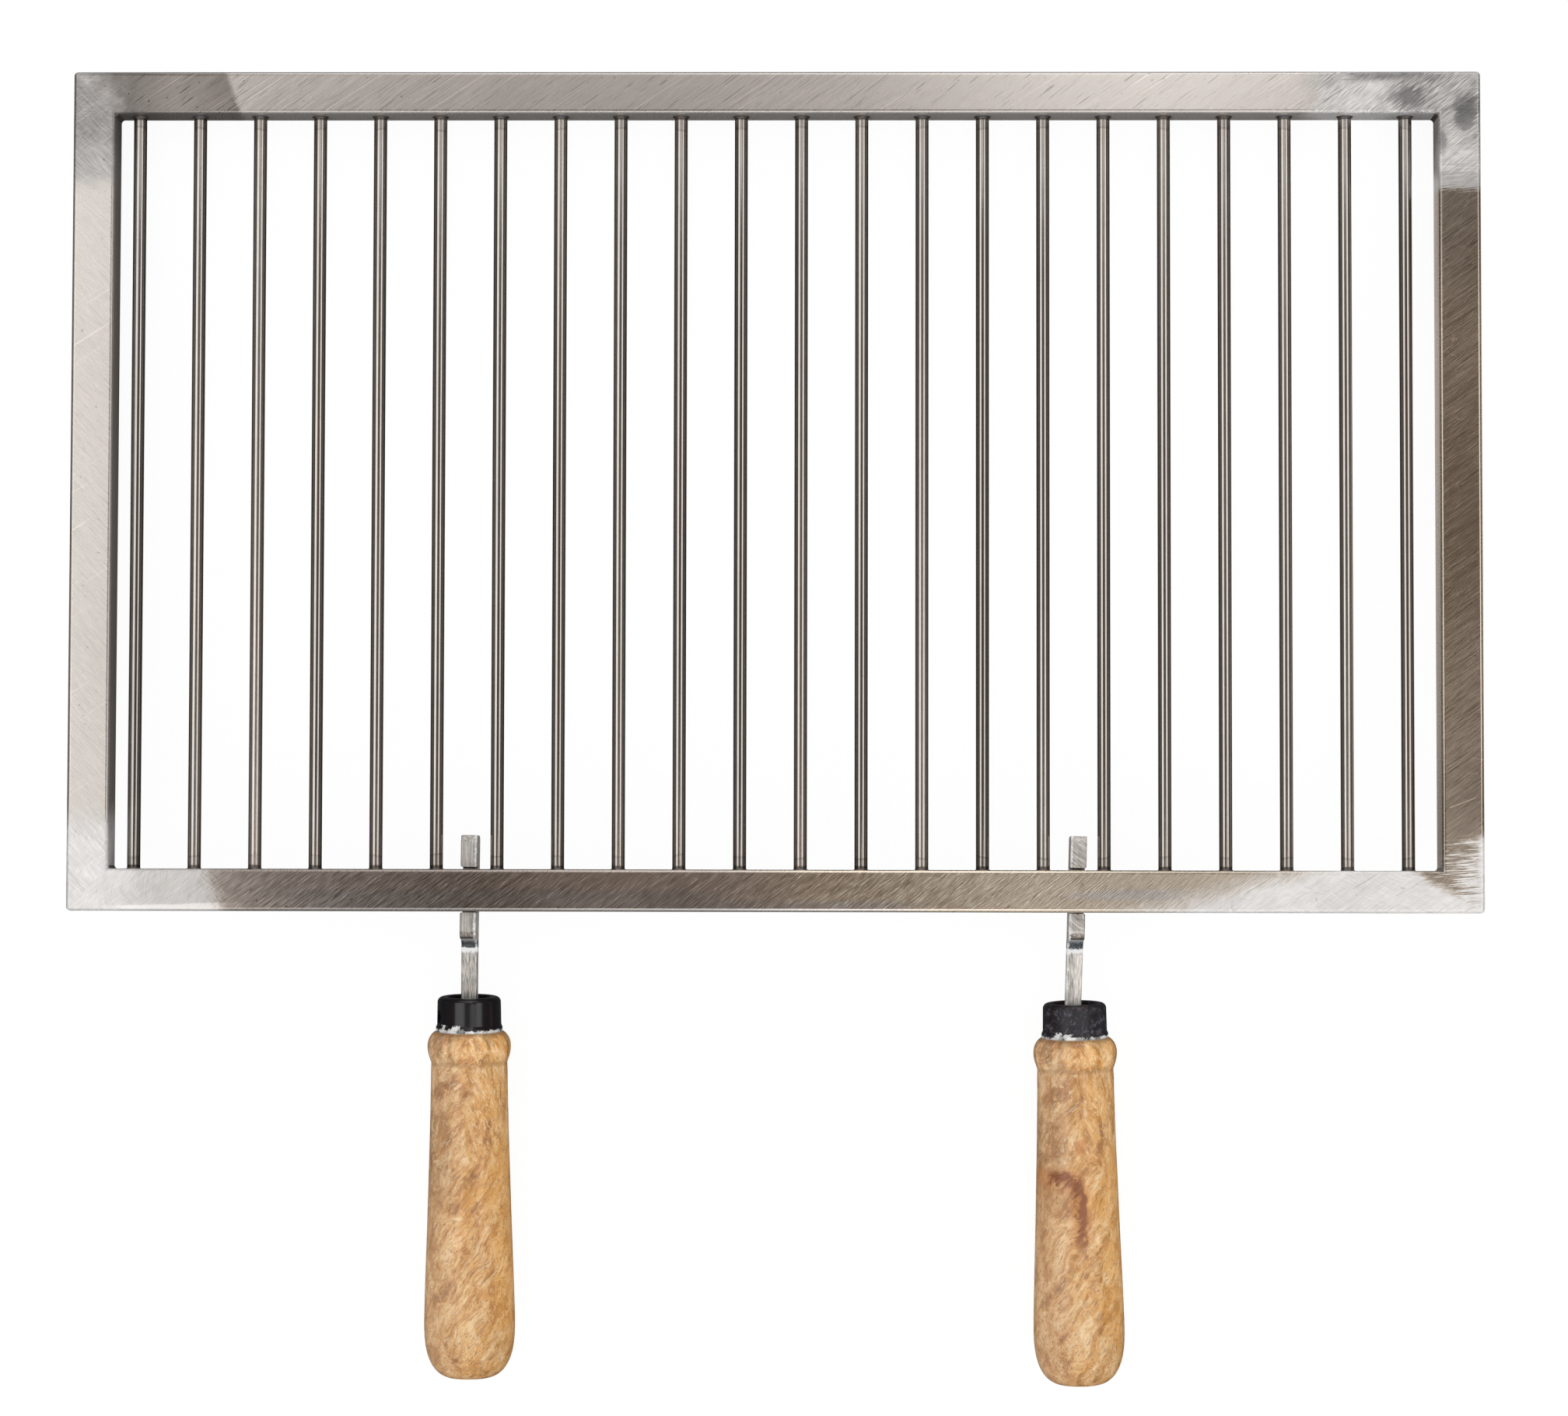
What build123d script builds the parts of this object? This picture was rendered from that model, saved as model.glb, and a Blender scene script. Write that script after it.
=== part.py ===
from build123d import *
import math
import os

# Barbecue grate with two hook-on handles. Millimetres, +Z up, +X to the right along the
# front rail, +Y towards the rear rail. Everything is drawn with Y 0 on the front rail's centre
# line, then saved with the origin in the middle of the rear rail's underside.

# frame of square tube
frame_width = 670.0          # over the side rails, X
frame_depth = 400.0          # over the front and rear rails, Y
tube = 20.0                  # square tube, outside
tube_wall = 1.5
tube_edge = 1.7              # rounding of the tube's long edges, outside
tube_edge_inside = 0.6
corner_round = 2.4           # the frame's four upright corners, ground after welding
corner_bead = 1.5            # leg of the weld bead left in each inner corner

# cooking rods
rod_count = 22
rod_dia = 6.25
rod_pitch = 28.8
rod_row_shift = -2.1         # the row sits a little left of the frame's middle
ring_leg_front = 0.5         # weld ring round each rod's front end, ground back
ring_leg_rear = 1.0          # and round its rear end

# hook: one bar cut from plate, standing on edge, in the Y-Z plane
hook_width = 7.6
hook_chamfer = 0.35          # broken edges of the plate
gap_under = 0.4              # below the rail's underside
gap_front = 0.5              # between the lug and the rail's front face
gap_back = 1.2               # between the tip and the rail's rear face
base_bottom = -6.5
wall_top = 12.0              # top of the lug and of the tip
tip_end = 26.3               # rear face of the tip
tip_bevel = 3.9
tip_bevel_drop = 1.6
heel_round = 3.0             # under the tip
lug_front = -23.3            # front face of the lug
lug_nose = 3.9               # rounding over the lug's front edge
lug_root = 6.7               # hollow rounding down to the tang
tang_depth = 6.5
tang_start = -30.0           # where the straight tang begins
tang_straight = 66.0
tang_length = 98.0           # to the point inside the wood
tang_point = 2.6
droop_deg = 4.5              # the handle hangs down from the rail by this angle

# ferrule and grip, measured along the handle from the ferrule's mouth
ferrule_length = 16.6
ferrule_front_r = 15.1
ferrule_mid_r = 15.3
ferrule_base_r = 15.9
ferrule_band = 2.0           # plain band round its rear end
ferrule_lip = 2.6
mouth_r = 10.3
mouth_depth = 2.2
cup_r = 13.2
tenon_start = 12.0
side_hole_r = 3.0
side_hole_at = 9.3
side_hole_rim = 0.7          # countersink of the side hole
grip_profile = [             # (distance from the ferrule's mouth, radius)
    (16.6, 16.2), (18.1, 18.0), (20.6, 19.4), (23.7, 19.9), (27.1, 19.5), (29.9, 18.65),
    (31.5, 18.15), (33.6, 18.2), (38.0, 18.3), (46.0, 18.4), (62.0, 18.75), (87.0, 19.5),
    (106.0, 20.1), (123.0, 20.7),
    (140.0, 21.3), (150.0, 21.6), (159.0, 21.7), (166.8, 21.1), (173.8, 19.3), (178.9, 16.2),
    (181.9, 11.7),
]

# (name, X of the hook at the rail, X of the ferrule's mouth, its distance from the start of the
# tang, turn of the hook and of the grip towards +X in degrees, side hole turn)
handles = [
    ("left", -145.1, -145.8, 20.8, -0.6, 0.0, 160.0),
    ("right", 143.7, 143.0, 23.2, -1.5, 1.0, 270.0),
]

inner_front = tube / 2
rear_rail_y = frame_depth - tube
inner_rear = rear_rail_y - tube / 2
side_rail_x = frame_width / 2 - tube / 2
inner_side = side_rail_x - tube / 2
mid_y = rear_rail_y / 2
rod_z = tube / 2
rod_length = inner_rear - inner_front
rod_r = rod_dia / 2


def save(shape, node):
    shape = Pos(0, -rear_rail_y, 0) * shape
    shape.label = node
    export_step(shape, "parts/" + node + ".step")


def rail(length, turn, x, y):
    """A square tube with mitred ends. Before turning it lies along X, long face towards -Y."""
    section = RectangleRounded(tube, tube, tube_edge)
    inner = tube - 2 * tube_wall
    section -= RectangleRounded(inner, inner, tube_edge_inside)
    body = extrude(Plane.YZ * section, amount=length / 2, both=True)
    half = length / 2
    low, high = -tube / 2, tube / 2
    outline = Polyline((-half, low), (half, low), (half - tube, high), (tube - half, high), close=True)
    body &= extrude(make_face(outline), amount=tube, both=True)
    body = Pos(x, y, tube / 2) * Rot(0, 0, turn) * body
    frame = Box(frame_width, frame_depth, 2 * tube)
    frame = fillet(frame.edges().filter_by(Axis.Z), corner_round)
    return body & (Pos(0, mid_y, 0) * frame)


def rod(i):
    x = rod_row_shift + (i - (rod_count - 1) / 2) * rod_pitch
    return Pos(x, mid_y, rod_z) * Rot(90, 0, 0) * Cylinder(rod_r, rod_length)


def weld_ring(i, at_rear):
    """A small bead round the end of rod i, against the rail's inner wall."""
    x = rod_row_shift + (i - (rod_count - 1) / 2) * rod_pitch
    leg = ring_leg_rear if at_rear else ring_leg_front
    bead = Polyline((rod_r, 0), (rod_r + leg, 0), (rod_r + 0.45 * leg, 0.45 * leg), (rod_r, leg),
                    close=True)
    ring = revolve(Plane.XZ * make_face(bead), Axis.Z)
    if at_rear:
        return Pos(x, inner_rear, rod_z) * Rot(90, 0, 0) * ring
    return Pos(x, inner_front, rod_z) * Rot(-90, 0, 0) * ring


def corner_weld(sx, y, sy):
    """An upright bead in an inner corner; sx and sy point from the corner into the opening."""
    bead = Polyline((0, 0), (sx * corner_bead, 0), (sx * 0.5, sy * 0.5), (0, sy * corner_bead), close=True)
    height = tube - 2 * tube_edge
    return Pos(-sx * inner_side, y, tube_edge) * extrude(make_face(bead), amount=height)


def hook():
    """The hook at X 0: a notch that takes the front rail from below, and the drooping tang."""
    rail_half = tube / 2
    top = -gap_under
    notch_front = -rail_half - gap_front
    notch_back = rail_half + gap_back
    root_y = lug_front - lug_root
    wall_z = wall_top - lug_nose
    c45 = math.cos(math.radians(45))
    with BuildPart() as clip:
        with BuildSketch(Plane.YZ):
            with BuildLine():
                Polyline((root_y, base_bottom), (tip_end - heel_round, base_bottom))
                RadiusArc((tip_end - heel_round, base_bottom), (tip_end, base_bottom + heel_round), -heel_round)
                Polyline((tip_end, base_bottom + heel_round), (tip_end, wall_top - tip_bevel_drop),
                         (tip_end - tip_bevel, wall_top), (notch_back, wall_top), (notch_back, top),
                         (notch_front, top), (notch_front, wall_top), (lug_front + lug_nose, wall_top))
                ThreePointArc((lug_front + lug_nose, wall_top),
                              (lug_front + lug_nose * (1 - c45), wall_z + lug_nose * c45),
                              (lug_front, wall_z))
                Line((lug_front, wall_z), (lug_front, lug_root))
                ThreePointArc((lug_front, lug_root), (lug_front - lug_root * (1 - c45), lug_root * (1 - c45)),
                              (root_y, 0))
                Line((root_y, 0), (root_y, base_bottom))
            make_face()
        extrude(amount=hook_width / 2, both=True)
        inside = clip.edges().filter_by(Axis.X).filter_by(lambda e: abs(e.center().Z - top) < 0.01)
        fillet(inside, 0.8)
    tang = Polyline((-1.0, 0), (tang_straight, 0), (tang_length, -tang_depth / 2 + tang_point / 2),
                    (tang_length, -tang_depth / 2 - tang_point / 2), (tang_straight, -tang_depth),
                    (-1.0, -tang_depth), close=True)
    bar = extrude(Plane.XZ * make_face(tang), amount=hook_width / 2, both=True)
    bar = Pos(0, tang_start, 0) * Rot(droop_deg, 0, 0) * Rot(0, 0, -90) * bar
    whole = clip.part + bar
    rims = whole.edges().filter_by(lambda e: abs(abs(e.center().X) - hook_width / 2) < 0.001)
    return chamfer(rims, hook_chamfer)


def along_handle(shape, x, out, swing):
    """Take a shape turned about +Z, with Z from the ferrule's mouth, to its place on the handle."""
    drop = math.radians(droop_deg)
    y = tang_start - out * math.cos(drop) - tang_depth / 2 * math.sin(-drop)
    z = -out * math.sin(drop) - tang_depth / 2 * math.cos(drop)
    return Pos(x, y, z) * Rot(0, 0, swing) * Rot(90 + droop_deg, 0, 0) * shape


def ferrule(hole_turn):
    """The metal cup on the grip's front end, open at its mouth, with one round side hole."""
    lip = ferrule_lip
    c45 = math.cos(math.radians(45))
    with BuildPart() as cup:
        with BuildSketch(Plane.XZ):
            with BuildLine():
                Polyline((mouth_r + 0.8, 0), (ferrule_front_r - lip, 0))
                ThreePointArc((ferrule_front_r - lip, 0),
                              (ferrule_front_r - lip * (1 - c45), lip * (1 - c45)),
                              (ferrule_front_r, lip))
                band = ferrule_length - ferrule_band
                Polyline((ferrule_front_r, lip), (ferrule_mid_r, band - 1.4),
                         (ferrule_base_r, band), (ferrule_base_r, ferrule_length),
                         (cup_r, ferrule_length), (cup_r, mouth_depth), (mouth_r, mouth_depth),
                         (mouth_r, 0.8))
                ThreePointArc((mouth_r, 0.8), (mouth_r + 0.8 * (1 - c45), 0.8 * (1 - c45)),
                              (mouth_r + 0.8, 0))
            make_face()
        revolve(axis=Axis.Z)
    from_axis = (Align.CENTER, Align.CENTER, Align.MIN)
    sink_at = ferrule_mid_r - side_hole_rim
    drill = Cylinder(side_hole_r, ferrule_base_r, align=from_axis)
    drill += Pos(0, 0, sink_at) * Cone(side_hole_r, side_hole_r + 2.0, 2.0, align=from_axis)
    return cup.part - Rot(0, 0, hole_turn) * Pos(0, 0, side_hole_at) * Rot(0, 90, 0) * drill


def grip():
    """The turned wooden grip, with a tenon that fills the back of the ferrule."""
    first, last = grip_profile[0], grip_profile[-1]
    with BuildPart() as wood:
        with BuildSketch(Plane.XZ):
            with BuildLine():
                Spline([(r, s) for s, r in grip_profile])
                Polyline((last[1], last[0]), (0, last[0]), (0, tenon_start), (cup_r, tenon_start),
                         (cup_r, first[0]), (first[1], first[0]))
            make_face()
        revolve(axis=Axis.Z)
    return wood.part


os.makedirs("parts", exist_ok=True)

save(rail(frame_width, 0, 0, 0), "front_rail")
save(rail(frame_width, 180, 0, rear_rail_y), "rear_rail")
save(rail(frame_depth, -90, -side_rail_x, mid_y), "left_rail")
save(rail(frame_depth, 90, side_rail_x, mid_y), "right_rail")

for n in range(rod_count):
    save(rod(n), f"rod_{n + 1:02d}")
save(Compound(children=[weld_ring(n, False) for n in range(rod_count)]), "rod_welds_front")
save(Compound(children=[weld_ring(n, True) for n in range(rod_count)]), "rod_welds_rear")
save(Compound(children=[corner_weld(sx, y, sy) for sx in (1, -1)
                        for y, sy in ((inner_front, 1), (inner_rear, -1))]), "corner_welds")

for side, hook_x, mouth_x, mouth_at, lean, swing, hole_turn in handles:
    bar = Pos(hook_x, 0, 0) * Rot(0, 0, lean) * hook()
    save(bar, side + "_hook")
    save(along_handle(ferrule(hole_turn), mouth_x, mouth_at, swing), side + "_ferrule")
    save(along_handle(grip(), mouth_x, mouth_at, swing) - bar, side + "_grip")
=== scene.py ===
import math

import bpy
from mathutils import Matrix, Vector


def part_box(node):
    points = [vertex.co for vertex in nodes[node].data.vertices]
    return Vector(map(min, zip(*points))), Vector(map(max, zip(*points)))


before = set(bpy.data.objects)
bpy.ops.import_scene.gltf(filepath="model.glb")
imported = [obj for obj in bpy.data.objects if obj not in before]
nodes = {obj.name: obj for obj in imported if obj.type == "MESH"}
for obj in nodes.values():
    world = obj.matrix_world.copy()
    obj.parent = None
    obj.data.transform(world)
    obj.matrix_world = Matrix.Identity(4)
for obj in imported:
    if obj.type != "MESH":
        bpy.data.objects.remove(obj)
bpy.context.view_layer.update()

MM = 0.001                           # shader values below are in mm, meshes and lights in metres
DROOP = math.radians(4.5)            # the handles hang down from the grate by this angle
RAIL = 20.0                          # square tube
FERRULE_LENGTH = 16.6
HOOK_X = {"left": -145.1, "right": 143.7}   # middle of each hook at the rail
HOOK_LEAN = {"left": -0.6, "right": -1.5}   # degrees that each hook leans from straight out

front_low, front_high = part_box("front_rail")
right_low, right_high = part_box("right_rail")
rear_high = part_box("rear_rail")[1]
MID_Y = (front_low.y + rear_high.y) / 2
HALF_X = right_high.x
HALF_Y = (rear_high.y - front_low.y) / 2
FRONT_Y = (front_low.y + front_high.y) / 2 / MM      # middle of the front rail

FLOOR_SIZE = 12.0
FLOOR_GAP = 0.0002                   # the floor is this far under what stands on it
PANEL_HEIGHT = 2.0                   # of the level light panels and of the camera
CAMERA_X, CAMERA_Y = 0.030, -0.389
CAMERA_TURNS = ((0.12, "Z"), (0.73, "Y"), (2.76, "X"))      # degrees away from straight down
CAMERA_LENS = 96.27


# ---------------------------------------------------------------- shader arithmetic

class Wire:
    """One output socket. Arithmetic on it adds Math nodes to its shader."""

    def __init__(self, shader, socket):
        self.shader, self.socket = shader, socket

    def math(self, operation, *others):
        return self.shader.node("ShaderNodeMath", {"operation": operation},
                                {i: v for i, v in enumerate((self, *others))})

    def flipped(self, operation, other):
        return self.shader.node("ShaderNodeMath", {"operation": operation}, {0: other, 1: self})

    def __add__(self, other):
        return self.math("ADD", other)

    def __radd__(self, other):
        return self.flipped("ADD", other)

    def __sub__(self, other):
        return self.math("SUBTRACT", other)

    def __rsub__(self, other):
        return self.flipped("SUBTRACT", other)

    def __mul__(self, other):
        return self.math("MULTIPLY", other)

    def __rmul__(self, other):
        return self.flipped("MULTIPLY", other)

    def __truediv__(self, other):
        return self.math("DIVIDE", other)

    def __rtruediv__(self, other):
        return self.flipped("DIVIDE", other)

    def __pow__(self, other):
        return self.math("POWER", other)

    def __abs__(self):
        return self.math("ABSOLUTE")

    def clamped(self):
        return self.math("MINIMUM", 1.0).math("MAXIMUM", 0.0)

    def step(self, low, high, start=0.0, end=1.0):
        """0 below low, 1 above high, smooth between, sent to start and end."""
        return self.shader.node("ShaderNodeMapRange", {"interpolation_type": "SMOOTHSTEP"},
                                {0: self, 1: low, 2: high, 3: start, 4: end})

    def fade(self, low, high):
        """1 below low, 0 above high, smooth between."""
        return self.step(low, high, 1.0, 0.0)


class Shader:
    """The nodes of a material or of the world."""

    def __init__(self, owner):
        self.owner = owner
        owner.use_nodes = True
        self.tree = owner.node_tree
        self.tree.nodes.clear()

    def node(self, kind, settings, inputs, output=0):
        made = self.tree.nodes.new(kind)
        for key, value in settings.items():
            if key == "stops":
                ramp = made.color_ramp
                while len(ramp.elements) < len(value):
                    ramp.elements.new(1.0)
                for element, (at, colour) in zip(ramp.elements, value):
                    element.position = at
                    element.color = (*colour, 1.0)
            else:
                setattr(made, key, value)
        for key, value in inputs.items():
            socket = made.inputs[key]
            if isinstance(value, Wire):
                self.tree.links.new(value.socket, socket)
            elif hasattr(socket.default_value, "__len__") and len(socket.default_value) == 4:
                socket.default_value = (*value, 1.0)
            else:
                socket.default_value = value
        return None if output is None else Wire(self, made.outputs[output])

    @property
    def place(self):
        return self.node("ShaderNodeTexCoord", {}, {}, "Object")

    @property
    def facing_up(self):
        """1 where the surface is level, 0 where it is upright, -1 underneath."""
        return self.parts(self.node("ShaderNodeTexCoord", {}, {}, "Normal"))[2]

    def vector(self, operation, first, second=(0.0, 0.0, 0.0)):
        return self.node("ShaderNodeVectorMath", {"operation": operation}, {0: first, 1: second})

    def swung(self, vector, angle):
        """A vector turned about Z by an angle in radians."""
        inputs = {"Vector": vector, "Angle": angle}
        return self.node("ShaderNodeVectorRotate", {"rotation_type": "Z_AXIS"}, inputs)

    def turned(self, vector, degrees, scale, centre=(0.0, 0.0, 0.0)):
        """The place turned about Z by degrees round a centre in metres, then scaled."""
        turned = self.swung(self.vector("SUBTRACT", vector, centre), math.radians(degrees))
        return self.vector("MULTIPLY", turned, scale)

    def noise(self, vector, scale, detail=2.0, roughness=0.5, distortion=0.0):
        return self.node("ShaderNodeTexNoise", {"normalize": True},
                         {"Vector": vector, "Scale": scale, "Detail": detail,
                          "Roughness": roughness, "Distortion": distortion}, "Fac")

    def strokes(self, degrees, length, width, detail=2.0, seed=0.0):
        """Fine strokes on the XY plane, about 0.5: length and width in mm, turned from +X."""
        vector = self.turned(self.place, -degrees, (1 / (length * MM), 1 / (width * MM), 1 / (width * MM)))
        return self.noise(self.vector("ADD", vector, (seed, seed, seed)), 1.0, detail, 0.55)

    def parts(self, vector):
        return [self.node("ShaderNodeSeparateXYZ", {}, {0: vector}, axis) for axis in range(3)]

    def stirred(self, scale, reach_mm):
        """The place pushed about by a soft noise, so that a pattern on it bends."""
        inputs = {"Vector": self.place, "Scale": scale, "Detail": 2.0}
        push = self.tone(self.node("ShaderNodeTexNoise", {}, inputs, "Color"), reach_mm * MM)
        return self.vector("ADD", self.place, push)

    def blend(self, factor, first, second):
        return self.node("ShaderNodeMix", {"data_type": "RGBA", "clamp_factor": True},
                         {0: factor, 6: first, 7: second}, 2)

    def layered(self, colour, *layers):
        """A colour with others laid over it in turn, each as strongly as its factor says."""
        for factor, tint in layers:
            colour = self.blend(factor, colour, tint)
        return colour

    def mixed(self, factor, first, second):
        """One of two shaders, or both in part."""
        return self.node("ShaderNodeMixShader", {}, {0: factor, 1: first, 2: second})

    def tone(self, colour, value):
        """A colour or a vector made longer or shorter by a value."""
        return self.node("ShaderNodeVectorMath", {"operation": "SCALE"}, {0: colour, "Scale": value})

    def bump(self, height, strength, distance_mm, normal=None):
        inputs = {"Height": height, "Strength": strength, "Distance": distance_mm * MM}
        if normal:
            inputs["Normal"] = normal
        return self.node("ShaderNodeBump", {}, inputs)

    def finish(self, **sockets):
        inputs = {key.replace("_", " "): value for key, value in sockets.items()}
        self.surface(self.node("ShaderNodeBsdfPrincipled", {}, inputs))
        return self.owner

    def surface(self, shader, output="ShaderNodeOutputMaterial"):
        self.node(output, {}, {"Surface": shader}, None)


class Values:
    """Named shader values that one step of a material hands to the next."""

    def __init__(self, **named):
        self.named = named

    def take(self, names):
        return [self.named[name] for name in names.split()]


def material(name):
    return Shader(bpy.data.materials.new(name))


def dress(material, *names):
    for name in names:
        data = nodes[name].data
        data.materials.clear()
        data.materials.append(material)


# ---------------------------------------------------------------- steel of the frame

def rail_areas(sh):
    """Where a point is on the frame, and which rail it belongs to."""
    x, y, _ = (part / MM for part in sh.parts(sh.place))
    half_x, half_y, mid = HALF_X / MM, HALF_Y / MM, MID_Y / MM
    across = abs(y - mid) - (half_y - RAIL)
    along = abs(x) - (half_x - RAIL)
    lengthways = (across - along).step(-1.5, 1.5)       # front and rear rails, up to the mitres
    at_front = y.fade(mid - 1, mid + 1)
    at_left = x.fade(-1.0, 1.0)
    front, rear = lengthways * at_front, lengthways * (1 - at_front)
    left, right = (1 - lengthways) * at_left, (1 - lengthways) * (1 - at_left)
    up = sh.facing_up
    top = up.step(0.55, 0.8)
    rounded = up.fade(0.97, 0.995)
    return Values(x=x, y=y, at_front=at_front, at_left=at_left, lengthways=lengthways, front=front, rear=rear,
                  left=left, right=right, top=top, rounded=rounded)


def rail_strokes(sh, rails):
    """Strokes of the belt and of the grinder, and soft noises: all about 0."""
    x, y = rails.take("x y")
    slash = sh.strokes(40, 7.0, 0.40, 4.0, 3.1) - 0.5
    slash_hair = sh.strokes(35, 20.0, 0.28, 2.0, 13.1) - 0.5
    back = sh.strokes(-47, 8.0, 0.42, 4.0, 9.7) - 0.5
    back_hair = sh.strokes(-42, 20.0, 0.28, 2.0, 19.7) - 0.5
    level_hair = sh.strokes(4, 11.0, 0.36, 4.0, 2.2) - 0.5
    bristle = sh.strokes(72, 6.0, 0.5, 3.0, 8.8) - 0.5
    wander = sh.noise(sh.place, 70.0, 3.0, 0.6) - 0.5
    cloud = sh.noise(sh.place, 48.0, 4.0, 0.65) - 0.5
    broad = sh.noise(sh.place, 13.0, 2.0) - 0.5
    folded = sh.vector("ABSOLUTE", sh.vector("SUBTRACT", sh.place, (0.0, MID_Y, 0.0)))
    from_corner = sh.vector("SUBTRACT", folded, (HALF_X - 0.030, HALF_Y - 0.040, 0.0))
    curl = sh.noise(sh.place, 26.0, 1.0) - 0.5
    curled = sh.swung(from_corner, curl * 1.2 + x * 0.0016 + y * 0.002)
    swirl = sh.noise(sh.vector("MULTIPLY", curled, (120.0, 2900.0, 900.0)), 1.0, 5.0, 0.65) - 0.5
    return Values(slash=slash, slash_hair=slash_hair, back=back, back_hair=back_hair, level_hair=level_hair,
                  bristle=bristle, wander=wander, cloud=cloud, broad=broad, swirl=swirl)


def ground_corners(rails, strokes):
    """The corners ground by hand: each reaches its own distance and ends in a ragged or soft border."""
    x, y, at_front, at_left, lengthways = rails.take("x y at_front at_left lengthways")
    slash, back, level_hair, bristle, wander = strokes.take("slash back level_hair bristle wander")
    ground_fl = at_front * at_left * (
        lengthways * (x + (y - FRONT_Y) * 0.25 + wander * 12.0 + back * 16.0).fade(-270.0, -258.0)
        + (1 - lengthways) * (y + wander * 16.0).fade(-352.0, -338.0))
    # the right front corner is only half cleaned: brown is left in its inner angle, under light hairs
    stained = ((y + 372.0) + (x - 303.0) * 0.68 + level_hair * 14.0 + wander * 8.0).step(-1.5, 3.5)
    stained = stained * y.fade(-348.0, -300.0)
    cleaned = (level_hair * 4.2 + (x - 316.0) * 0.040 + (-352.0 - y) * 0.016 - 0.52).step(0.0, 0.34)
    cleaned = cleaned.math("MAXIMUM", (x + wander * 4.0).step(330.0, 333.5))
    ground_fr = at_front * (1 - at_left) * (
        lengthways * (x - (y - FRONT_Y) * 3.6 + wander * 26.0 + slash * 60.0).step(174.0, 238.0)
        + (1 - lengthways) * (y + wander * 6.0 + level_hair * 14.0).fade(-356.0, -350.0))
    ground_fr = ground_fr * (1 - stained * (1 - cleaned))
    ground_rr = (1 - at_front) * (1 - at_left) * (
        lengthways * (x + wander * 24.0 + bristle * 14.0).step(246.0, 268.0)
        + (1 - lengthways) * (y + wander * 6.0 + level_hair * 12.0).step(-47.5, -45.5))
    ground_rl = (1 - at_front) * at_left * (
        lengthways * (x + wander * 14.0 + slash * 20.0).fade(-312.0, -296.0)
        + (1 - lengthways) * (y + wander * 16.0 + back * 16.0).step(-50.0, -38.0))
    ground = (ground_fl + ground_fr + ground_rr + ground_rl).clamped()
    plain = 1 - ground
    return Values(ground_fl=ground_fl, ground_fr=ground_fr, ground_rr=ground_rr, ground_rl=ground_rl,
                  ground=ground, plain=plain, stained=stained)


def dark_marks(rails, strokes, corners):
    """Darker and lighter places that belong to one rail or corner only."""
    x, y, front, rear, left, top = rails.take("x y front rear left top")
    at_front, at_left = rails.take("at_front at_left")
    slash, slash_hair, back, level_hair, wander = strokes.take("slash slash_hair back level_hair wander")
    ground_rr, = corners.take("ground_rr")
    patch = rear * (x + y * 0.35 + back * 3.0).fade(-260.5, -257.0) * (
        x + wander * 40.0 + slash * 30.0).step(-332.0, -308.0)
    shade_rl = left * (y + wander * 22.0 + slash * 12.0).step(-36.0, -20.0)
    slate_oval = 1 - (((x - 299.0) / 9.0) ** 2.0 + ((y + 1.5) / 6.5) ** 2.0
                      + slash * 5.0 + slash_hair * 2.0 + wander * 3.0).step(0.1, 1.5)
    slate_edge = ((x + level_hair * 22.0).step(268.0, 277.0) * (x + slash * 40.0).fade(288.0, 322.0)
                  * (y + slash * 9.0 - (x - 272.0) * 0.05).step(4.0, 6.6))
    slate_swirl = 1 - (((x - 328.0) / 6.0) ** 2.0 + ((y + 9.0) / 8.0) ** 2.0
                       + slash * 4.5 + wander * 3.0).step(0.20, 1.5)
    slate_side = (1 - (((x - 316.0) / 3.0) ** 2.0 + ((y + 24.0) / 7.0) ** 2.0 + slash * 4.0).step(0.3, 1.3)
                  + (y + level_hair * 26.0 + wander * 10.0).fade(-43.0, -34.0) * 0.55)
    slate = ((slate_oval + slate_edge) * rear + (slate_swirl + slate_side * 0.8) * (1 - at_left)
             * (1 - at_front) * ground_rr).clamped() * top
    rough_x, rough_y = x + slash * 60.0, y + slash * 8.0
    streak = (rough_y.fade(-381.0, -378.0) * rough_x.step(-245.0, -200.0) * rough_x.fade(-45.0, -5.0)
              + rough_y.fade(-386.0, -383.5) * rough_x.step(-50.0, -20.0) * rough_x.fade(40.0, 85.0)
              + rough_y.step(-384.5, -382.5) * rough_y.fade(-380.5, -378.5)
              * rough_x.step(130.0, 165.0) * rough_x.fade(182.0, 200.0))
    streak = (streak * front * (0.75 + slash * 2.0)).clamped()
    wedge = front * (x + wander * 30.0).fade(-268.0, -245.0) * (
        (y + 389.2 - (x + 335.0) * 0.028 + wander * 1.6).fade(0.6, 1.6)) * x.step(-322.0, -300.0)
    return Values(patch=patch, shade_rl=shade_rl, slate=slate, streak=streak, wedge=wedge)


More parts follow.
